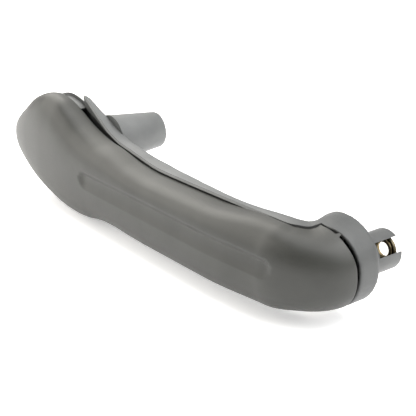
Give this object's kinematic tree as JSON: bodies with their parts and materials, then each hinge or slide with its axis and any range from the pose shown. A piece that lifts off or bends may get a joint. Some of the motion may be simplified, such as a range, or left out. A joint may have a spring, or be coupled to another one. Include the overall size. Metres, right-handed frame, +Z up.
{
  "type": "door pull handle",
  "caption": "Curved door pull handle with a broad foot, a clip-on front cover, a screw post and a collar with a slotted sleeve.",
  "frame": {"origin": "where the axis of the slotted sleeve meets the plane of the collar's back face", "axes": "+X along the grip from the broad foot to the collar, +Y into the door along the sleeve and the screw post, +Z up as mounted"},
  "size_m": [0.2855, 0.0684, 0.0677],
  "materials": {
    "cover_plastic": "fine satin grain",
    "carrier_plastic": "plain moulded",
    "insert_brass": "turned"
  },
  "bodies": {
    "root": {"front_cover": "cover_plastic", "carrier": "carrier_plastic", "threaded_insert": "insert_brass"}
  },
  "joints": []
}
